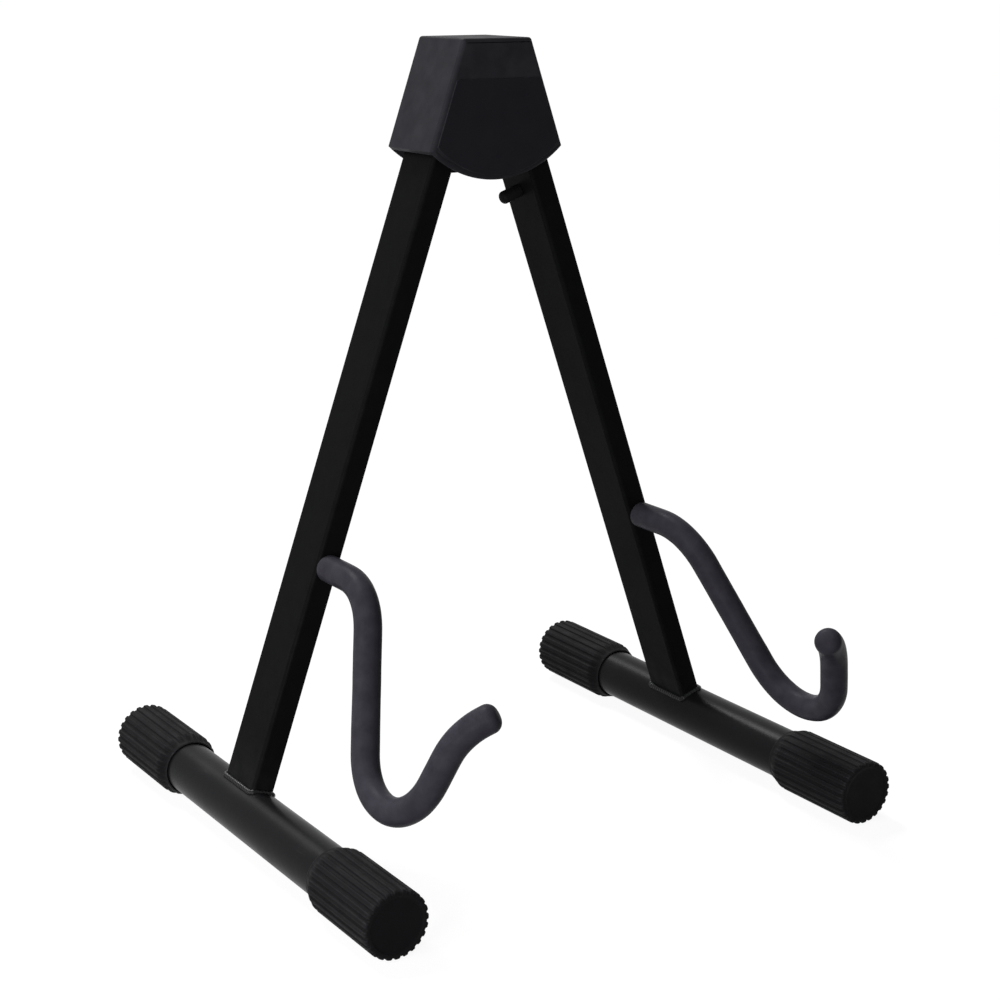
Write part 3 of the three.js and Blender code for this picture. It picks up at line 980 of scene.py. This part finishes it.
@dataclass
class Leg:
    """One flat tube leg, coped over the round foot tube and welded to it."""

    place: LegPlace
    width: float = 0.0120
    depth: float = 0.0286
    corner: float = 0.0018
    above_pivot: float = 0.0060
    foot_radius: float = 0.0127
    foot_gap: float = 0.0003
    bead: float = 0.00165
    bead_out: float = 0.0002
    bead_lift: float = 0.0001
    bead_shares: tuple[float, float, float] = (0.86, 0.13, 0.14)
    ripple: float = 0.0017
    ripple_rings: int = 7
    drift_rate: float = 160.0
    seed: float = 3.7
    corner_steps: int = 7
    rings: int = 30
    bead_facets: int = 14

    def section(self, grow: float = 0.0) -> np.ndarray:
        """The tube's outline across the leg, or one that lies outside it."""
        x, y, r = self.width / 2 + grow, self.depth / 2 + grow, self.corner + grow
        return rounded([(x, -y, r), (x, y, r), (-x, y, r), (-x, -y, r)], self.corner_steps)

    def on_foot(self, outline: np.ndarray, lift: float) -> np.ndarray:
        """An outline laid on the round of the foot tube or lifted off it, in the leg's frame."""
        height = np.sqrt((self.foot_radius + lift) ** 2 - outline[:, 0] ** 2)
        return np.column_stack([outline, height])

    def tube(self) -> Piece:
        """The leg's tube, coped at its foot.

        Returns:
            The tube, closed at both ends.
        """
        top = self.place.length + self.above_pivot
        foot = self.on_foot(self.section(), self.foot_gap)
        rings = [foot]
        for step in range(1, self.rings + 1):
            share = step / self.rings
            ring = foot.copy()
            ring[:, 2] = foot[:, 2] * (1 - share) + top * share
            rings.append(ring)
        rim = self.section(-LIP)
        rings[-1][:, 2] = top - LIP
        rings.append(np.column_stack([rim, np.full(len(rim), top)]))
        placed = [moved(ring, self.place.matrix) for ring in rings]
        return shade(loft(f"{self.place.side.word}_leg", placed), 50, True)

    def weld(self) -> Piece:
        """The rippled bead all round the leg's foot.

        Returns:
            The bead, a closed loop.
        """
        path = self.on_foot(self.section(self.bead_out), self.bead_lift)
        path = np.concatenate([path, path[:1]])
        length = travelled(path)[-1]
        count = int(length / (self.ripple / self.ripple_rings))
        at = np.linspace(0, length, count, endpoint=False)
        line = points_at(path, at)
        along = unit(np.roll(line, -1, 0) - np.roll(line, 1, 0))
        radial = unit(np.column_stack([line[:, 0], np.zeros(count), line[:, 2]]))
        radial = unit(radial - along * (along * radial).sum(1)[:, None])
        outward = np.cross(along, radial)
        base, scallop, drift = self.bead_shares
        seed = self.seed * self.place.side.value
        verts = []
        for i, gone in enumerate(at):
            radius = self.bead * (base + scallop * abs(math.sin(math.pi * gone / self.ripple))
                                  + drift * noise.noise(Vector((gone * self.drift_rate, seed, 0))))
            for angle in round_angles(self.bead_facets):
                verts.append(line[i] + radius * (math.cos(angle) * radial[i] + math.sin(angle) * outward[i]))
        piece = new_piece(f"{self.place.side.word}_foot_weld", moved(np.array(verts), self.place.matrix),
                          skin(count, self.bead_facets, True))
        return shade(piece, 180)

    def build(self, coat: Finish, weld_coat: Finish, nylon: Finish) -> None:
        """Builds and dresses the leg.

        Args:
            coat: The tube's finish.
            weld_coat: The bead's finish.
            nylon: Finish of the plug in the top.
        """
        word, body = self.place.side.word, self.place.side.body
        show(self.tube(), body, coat, [f"{word}_leg_tube"])
        show(self.weld(), body, weld_coat)
        dress(f"{word}_leg_plug", nylon)


# ---- Foot -------------------------------------------------------------------------------


@dataclass
class Foot:
    """The round foot tube with a ribbed cap on each end."""

    side: Side
    wall: float = 0.0012
    bore_gap: float = 0.0003
    ribs: int = 24
    rib_height: float = 0.0008
    rib_turn: float = 0.015
    rib_start: float = 0.22
    taper: float = 0.0070
    taper_shares: tuple[float, ...] = (0.04, 0.12, 0.22, 0.34, 0.46, 0.58, 0.70, 0.82, 0.92, 1.0)
    mouth_wall: float = 0.0008
    mouth_edge: float = 0.0002
    rim: float = 0.0014
    rim_turns: tuple[float, ...] = (22, 45, 68, 90)
    end_wall: float = 0.0040
    disc_inset: float = 0.0022
    disc_depth: float = 0.0004
    disc_edge: float = 0.0001
    disc_shares: tuple[float, ...] = (0.9, 0.6, 0.3)
    crest_share: float = 0.40
    root_share: float = 0.26
    facets: int = 112
    tube_rings: int = 24
    tube_end: float = 0.004
    cap_rings: int = 12
    rib_samples: tuple[float, ...] = (
        -0.5, -0.44, -0.38, -0.33, -0.28, -0.23, -0.17, -0.06, 0.06, 0.17, 0.23, 0.28, 0.33, 0.38, 0.44)

    def tube(self) -> Piece:
        """The drawn tube with rounded lips, open at both ends inside the caps.

        Returns:
            The tube.
        """
        low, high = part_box(f"{self.side.word}_foot_tube")
        middle, radius, length = (low + high) / 2, (high.x - low.x) / 2, high.y - low.y
        inner = radius - self.wall
        place = Matrix.Translation((middle.x, low.y, middle.z)) @ Matrix.Rotation(-QUARTER, 4, "X")
        outer = [(radius, length * t) for t in np.linspace(self.tube_end, 1 - self.tube_end, self.tube_rings)]
        profile = [(inner, LIP), (inner + LIP, 0), (radius - LIP, 0), *outer,
                   (radius - LIP, length), (inner + LIP, length), (inner, length - LIP)]
        rings = hoops(profile, self.facets, place)
        faces = skin(len(rings), self.facets, True)
        return shade(new_piece(f"{self.side.word}_foot", np.concatenate(rings), faces), 40, True)

    def rib_ring(self, crest: float, root: float, z: float) -> np.ndarray:
        """One ring of the ribbed skin, in the cap's frame.

        Args:
            crest: Radius over the ribs.
            root: Radius between them.
            z: Place along the cap.

        Returns:
            The ring's points.
        """
        points = []
        flank = 0.5 - self.crest_share / 2 - self.root_share / 2
        for rib in range(self.ribs):
            for share in self.rib_samples:
                fall = min(max((abs(share) - self.crest_share / 2) / flank, 0), 1)
                radius = crest + (root - crest) * fall * fall * (3 - 2 * fall)
                angle = 2 * math.pi * (rib + share) / self.ribs - QUARTER + self.rib_turn
                points.append((radius * math.cos(angle), radius * math.sin(angle), z))
        return np.array(points)

    def cap(self, end: End) -> Piece:
        """A moulded cap: ribs that rise from the tapered mouth, a rounded end and a sunk disc.

        Args:
            end: Which end of the foot.

        Returns:
            The closed cap.
        """
        node = f"{self.side.word}_{end.name.lower()}_cap"
        low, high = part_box(node)
        tube_low, tube_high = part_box(f"{self.side.word}_foot_tube")
        middle, length, crest = (low + high) / 2, high.y - low.y, (high.z - low.z) / 2
        bore = (tube_high.x - tube_low.x) / 2 + self.bore_gap
        root, mouth = crest - self.rib_height, bore + self.mouth_wall
        stations = [(bore, bore, length - self.end_wall), (bore, bore, LIP),
                    (bore + self.mouth_edge, bore + self.mouth_edge, 0.0), (mouth - LIP, mouth - LIP, 0.0)]
        for share in self.taper_shares:
            rib = max(0.0, (share - self.rib_start) / (1 - self.rib_start))
            lift = mouth + (root - mouth) * (share * share * (3 - 2 * share))
            stations.append((lift + self.rib_height * rib, lift, self.taper * share))
        stations += [(crest, root, z) for z in np.linspace(self.taper, length - self.rim, self.cap_rings)[1:]]
        for angle in np.radians(self.rim_turns):
            sunk = self.rim * (1 - math.cos(angle))
            stations.append((crest - sunk, root - sunk, length - self.rim * (1 - math.sin(angle))))
        disc, floor = root - self.disc_inset, length - self.disc_depth
        stations += [(disc + LIP, disc + LIP, length), (disc, disc, length - self.disc_edge),
                     (disc - LIP, disc - LIP, floor),
                     *((disc * share, disc * share, floor) for share in self.disc_shares)]
        y = high.y if end is End.FRONT else low.y
        turn = Matrix.Rotation(QUARTER * -end.value, 4, "X")
        place = Matrix.Translation((middle.x, y, middle.z)) @ turn
        piece = loft(f"{node}_ribbed", [moved(self.rib_ring(*station), place) for station in stations])
        return shade(piece, 50, True)

    def build(self, paint: Finish, rubber: Finish) -> None:
        """Builds and dresses the foot.

        Args:
            paint: The tube's finish.
            rubber: The caps' finish.
        """
        word = self.side.word
        show(self.tube(), self.side.body, paint, [f"{word}_foot_tube"])
        for end in End:
            show(self.cap(end), self.side.body, rubber, [f"{word}_{end.name.lower()}_cap"])


# ---- Support arm ------------------------------------------------------------------------


@dataclass(frozen=True)
class Bend:
    """One move of the pipe bender: a straight run, or an arc, after the bar is rolled."""

    run: float = 0.0
    radius: float = 0.0
    angle: float = 0.0
    roll: float = 0.0


@dataclass
class Arm:
    """A bent rod in a foam sleeve that runs from the leg's front wall to a closed round tip."""

    place: LegPlace
    height: float = 0.1239
    start: float = 0.0146
    sleeve_radius: float = 0.0066
    tip_round: float = 0.0046
    butt_round: float = 0.0012
    out: float = 0.0343
    drop: Bend = Bend(radius=0.032, angle=62.7)
    fall: Bend = Bend(run=0.0559)
    cradle: Bend = Bend(radius=0.0303, angle=-135.4)
    rise: Bend = Bend(run=0.0132)
    flare: Bend = Bend(radius=0.0383, angle=36.0, roll=63.0)
    tip: Bend = Bend(run=0.0063)
    butt_turns: tuple[float, ...] = (0, 20, 45, 68, 90)
    tip_turns: tuple[float, ...] = (0, 12, 24, 36, 48, 60, 72, 82)
    uneven: float = 0.00009
    swell_rate: float = 55.0
    seed: float = 11.0
    look: float = 0.0015
    facets: int = 44
    pitch: float = 0.0016

    def line(self) -> np.ndarray:
        """The sleeve's centre line, in the leg's frame, in even steps.

        Returns:
            Its points, one row each.
        """
        side = self.place.side.value
        at, along, axis = Vector((0, -self.start, self.height)), Vector((0, -1, 0)), Vector((1, 0, 0))
        points = [at.copy()]
        for move in (Bend(run=self.out - self.start), self.drop, self.fall, self.cradle, self.rise,
                     self.flare, self.tip):
            axis = Matrix.Rotation(math.radians(-side * move.roll), 3, along) @ axis
            arc = math.radians(abs(move.angle)) * move.radius
            count = max(2, round((move.run + arc) / self.pitch))
            if arc:
                sign = math.copysign(1, move.angle)
                centre = at + axis.cross(along) * sign * move.radius
                spoke = at - centre
                for step in range(1, count + 1):
                    turn = Matrix.Rotation(sign * arc / move.radius * step / count, 3, axis)
                    points.append(centre + turn @ spoke)
                at, along = points[-1].copy(), turn @ along
            else:
                points += [at + along * move.run * step / count for step in range(1, count + 1)]
                at = points[-1].copy()
        return np.array(points)

    def sleeve(self) -> Piece:
        """The foam sleeve, slightly uneven, with a rounded butt and a domed tip.

        Returns:
            The closed sleeve.
        """
        line = self.line()
        total = travelled(line)[-1]
        butt = [self.butt_round * (1 - math.cos(a)) for a in np.radians(self.butt_turns)]
        body = np.linspace(self.butt_round, total - self.tip_round, int(total / self.pitch))[1:-1]
        dome = [total - self.tip_round * (1 - math.sin(a)) for a in np.radians(self.tip_turns)]
        at = np.array([*butt, *body, *dome])
        centre = points_at(line, at)
        along = unit(points_at(line, np.minimum(at + self.look, total))
                     - points_at(line, np.maximum(at - self.look, 0)))
        across = np.array([1.0, 0, 0])
        seed = self.seed * self.place.side.value
        rings = []
        for i, gone in enumerate(at):
            across = across - along[i] * (across @ along[i])
            across /= np.linalg.norm(across)
            other = np.cross(along[i], across)
            radius = self.sleeve_radius
            if gone < self.butt_round:
                radius -= rounded_off(self.butt_round, 1 - gone / self.butt_round)
            if gone > total - self.tip_round:
                radius -= rounded_off(self.tip_round, (gone - total + self.tip_round) / self.tip_round)
            ring = []
            for angle in round_angles(self.facets):
                spoke = math.cos(angle) * across + math.sin(angle) * other
                spot = centre[i] + radius * spoke
                swell = noise.fractal(Vector(spot * self.swell_rate) + Vector((seed, 0, 0)), 0.8, 2.0, 3)
                ring.append(spot + spoke * (self.uneven * max(-1.0, min(1.0, swell)) - self.uneven))
            rings.append(np.array(ring))
        placed = [moved(ring, self.place.matrix) for ring in rings]
        return shade(loft(f"{self.place.side.word}_foam_sleeve", placed), 75)

    def build(self, foam: Finish, coat: Finish) -> None:
        """Builds and dresses the arm.

        Args:
            foam: The sleeve's finish.
            coat: Finish of the rod inside it.
        """
        word, body = self.place.side.word, self.place.side.body
        sleeve = show(self.sleeve(), body, foam, [f"{word}_arm_sleeve"])
        dress(f"{word}_arm_rod", coat)


# ---- Fold stop --------------------------------------------------------------------------


@dataclass
class FoldStop:
    """The rubber peg on the right leg that meets the other leg as the stand folds."""

    place: LegPlace
    below_pivot: float = 0.0575
    leg_width: float = 0.0120
    leg_wall: float = 0.0012
    radius: float = 0.0032
    neck: float = 0.0022
    bulb: float = 0.0029
    bulb_length: float = 0.0016
    bulb_point_share: float = 0.6
    reach: float = 0.0116
    dome: float = 0.0022
    dome_steps: int = 9
    crown_share: float = 0.12
    seat: float = 0.0002
    facets: int = 48

    def build(self, rubber: Finish) -> None:
        """Builds and dresses the peg.

        Args:
            rubber: Its finish.
        """
        inside = -self.leg_wall - self.seat
        crown, shoulder = self.crown_share, self.reach - self.dome
        dome = [(self.radius * (crown + (1 - crown) * math.cos(a)), shoulder + self.dome * math.sin(a))
                for a in np.linspace(0, QUARTER, self.dome_steps)]
        profile = [(self.bulb * self.bulb_point_share, inside - self.bulb_length), (self.bulb, inside),
                   (self.neck, inside), (self.neck, self.seat), (self.radius - LIP, self.seat),
                   (self.radius, self.seat + LIP), *dome]
        up = self.place.length - self.below_pivot
        to_inner_face = Matrix.Translation((-self.leg_width / 2, 0, up)) @ Matrix.Rotation(-QUARTER, 4, "Y")
        piece = turned("fold_stop_bumper", profile, self.facets, self.place.matrix @ to_inner_face)
        show(shade(piece, 40), self.place.side.body, rubber, ["fold_stop_peg"])


# ---- Studio -----------------------------------------------------------------------------


def lamp(name: str, kind: str, energy: float, facing: Vector) -> Piece:
    """Adds a lamp.

    Args:
        name: The lamp's name.
        kind: Its type.
        energy: In watts, or in watts per square metre for a sun.
        facing: The way that its light goes.

    Returns:
        The lamp, at the origin.
    """
    data = bpy.data.lights.new(name, kind)
    data.energy = energy
    made = bpy.data.objects.new(name, data)
    made.rotation_euler = facing.to_track_quat("-Z", "Y").to_euler()
    bpy.context.scene.collection.objects.link(made)
    return made


@dataclass(frozen=True)
class Softbox:
    """A rectangular soft lamp, by its place, the point that it faces, its size and its power in watts."""

    name: str
    at: Point
    aim: Point
    size: tuple[float, float]
    power: float

    def build(self) -> None:
        """Adds the lamp."""
        made = lamp(self.name, "AREA", self.power, Vector(self.aim) - Vector(self.at))
        made.data.shape, made.data.size, made.data.size_y = "RECTANGLE", *self.size
        made.location = self.at
        made.visible_camera = False


@dataclass
class Studio:
    """Pale floor, soft light and the camera."""

    azimuth: float = -32.844
    elevation: float = 14.762
    distance: float = 0.9988
    lens: float = 73.75
    sensor: float = 36.0
    clip: tuple[float, float] = (0.02, 200.0)
    roll: float = 0.128
    target: Point = (0.0, 0.0022, 0.1549)
    floor_size: float = 60.0
    floor_gap: float = 0.0001
    floor_colour: Colour = (0.14, 0.14, 0.14)
    floor_lift: float = 0.92
    sky: float = 0.07
    sun_from: Point = (-0.05, 0.60, 0.80)
    sun_strength: float = 2.6
    sun_width: float = 20.0
    softboxes: tuple[Softbox, ...] = (
        Softbox("left_softbox", at=(-1.9, -0.12, 1.15), aim=(0, 0, 0.15), size=(0.7, 0.9), power=18),
        Softbox("side_strip", at=(-0.72, -0.54, 0.20), aim=(-0.1, -0.06, 0.1), size=(0.2, 0.45), power=5))

    def camera(self) -> None:
        """The camera, aimed at the stand."""
        a, e = math.radians(self.azimuth), math.radians(self.elevation)
        back = Vector((math.sin(a) * math.cos(e), -math.cos(a) * math.cos(e), math.sin(e)))
        data = bpy.data.cameras.new("camera")
        data.lens, data.sensor_width = self.lens, self.sensor
        data.clip_start, data.clip_end = self.clip
        eye = bpy.data.objects.new("camera", data)
        eye.location = Vector(self.target) + back * self.distance
        turn = (-back).to_track_quat("-Z", "Y").to_matrix() @ Matrix.Rotation(math.radians(self.roll), 3, "Z")
        eye.rotation_euler = turn.to_euler()
        bpy.context.scene.collection.objects.link(eye)
        bpy.context.scene.camera = eye

    def seen(self, tree: bpy.types.NodeTree) -> Socket:
        """1 for rays that show the background, in the camera, in gloss or through glass.

        Args:
            tree: The node tree to add it to.

        Returns:
            The share.
        """
        path = tree.nodes.new("ShaderNodeLightPath")
        total = path.outputs["Is Camera Ray"]
        for name in ("Is Glossy Ray", "Is Transmission Ray"):
            either = tree.nodes.new("ShaderNodeMath")
            either.operation = "MAXIMUM"
            tree.links.new(total, either.inputs[0])
            tree.links.new(path.outputs[name], either.inputs[1])
            total = either.outputs["Value"]
        return total

    def floor(self) -> None:
        """A pale floor that keeps the stand's soft shadow."""
        half = self.floor_size / 2
        plane = new_piece("floor", [(-half, -half, 0), (half, -half, 0), (half, half, 0), (-half, half, 0)],
                          [(0, 1, 2, 3)])
        plane.location.z = -self.floor_gap
        material = bpy.data.materials.new("floor")
        material.use_nodes = True
        tree = material.node_tree
        shader = next(n for n in tree.nodes if n.type == "BSDF_PRINCIPLED")
        shader.inputs["Base Color"].default_value = (*self.floor_colour, 1)
        shader.inputs["Roughness"].default_value = 1.0
        shader.inputs["Specular IOR Level"].default_value = 0.0
        lift = tree.nodes.new("ShaderNodeMath")
        lift.operation = "MULTIPLY"
        tree.links.new(self.seen(tree), lift.inputs[0])
        lift.inputs[1].default_value = self.floor_lift
        shader.inputs["Emission Color"].default_value = (1, 1, 1, 1)
        tree.links.new(lift.outputs["Value"], shader.inputs["Emission Strength"])
        plane.data.materials.append(material)

    def sky_light(self) -> None:
        """An even sky: white where it is seen, softer as light."""
        world = bpy.data.worlds.new("studio")
        bpy.context.scene.world = world
        world.use_nodes = True
        tree = world.node_tree
        background = next(n for n in tree.nodes if n.type == "BACKGROUND")
        background.inputs["Color"].default_value = (1, 1, 1, 1)
        strength = tree.nodes.new("ShaderNodeMapRange")
        strength.inputs["To Min"].default_value = self.sky
        strength.inputs["To Max"].default_value = 1.0
        tree.links.new(self.seen(tree), strength.inputs["Value"])
        tree.links.new(strength.outputs["Result"], background.inputs["Strength"])

    def sun(self) -> None:
        """A wide soft sun from above and behind: it lights the tops and the floor, and not the front."""
        made = lamp("overhead", "SUN", self.sun_strength, -Vector(self.sun_from))
        made.data.angle = math.radians(self.sun_width)

    def build(self) -> None:
        """Sets up the studio."""
        bpy.context.scene.view_settings.view_transform = "Standard"
        self.camera()
        self.floor()
        self.sky_light()
        self.sun()
        for softbox in self.softboxes:
            softbox.build()


def main() -> None:
    """Builds every sub-assembly in order."""
    logging.basicConfig(level=logging.INFO, format="%(message)s")
    coat, paint, weld_coat = PowderCoat().make(), GlossPaint().make(), WeldCoat().make()
    plastic, rubber, foam = SparkPlastic().make(), CapRubber().make(), FoamSkin().make()
    smooth_rubber = CapRubber(name="peg_rubber", rubbed=(0.012, 0.012, 0.013)).make()
    zinc, oxide, nylon = ZincPlate().make(), BlackOxide().make(), NaturalNylon().make()
    places = {side: LegPlace.read(side) for side in Side}
    upright = places[Side.RIGHT].pivot - places[Side.RIGHT].foot
    Head(lean=math.atan2(abs(upright.x), upright.z)).build(plastic, zinc, oxide, nylon)
    for side, place in places.items():
        Leg(place).build(coat, weld_coat, nylon)
        Foot(side).build(paint, rubber)
        Arm(place).build(foam, coat)
    FoldStop(places[Side.RIGHT]).build(smooth_rubber)
    Studio().build()


if __name__ == "__main__":
    main()
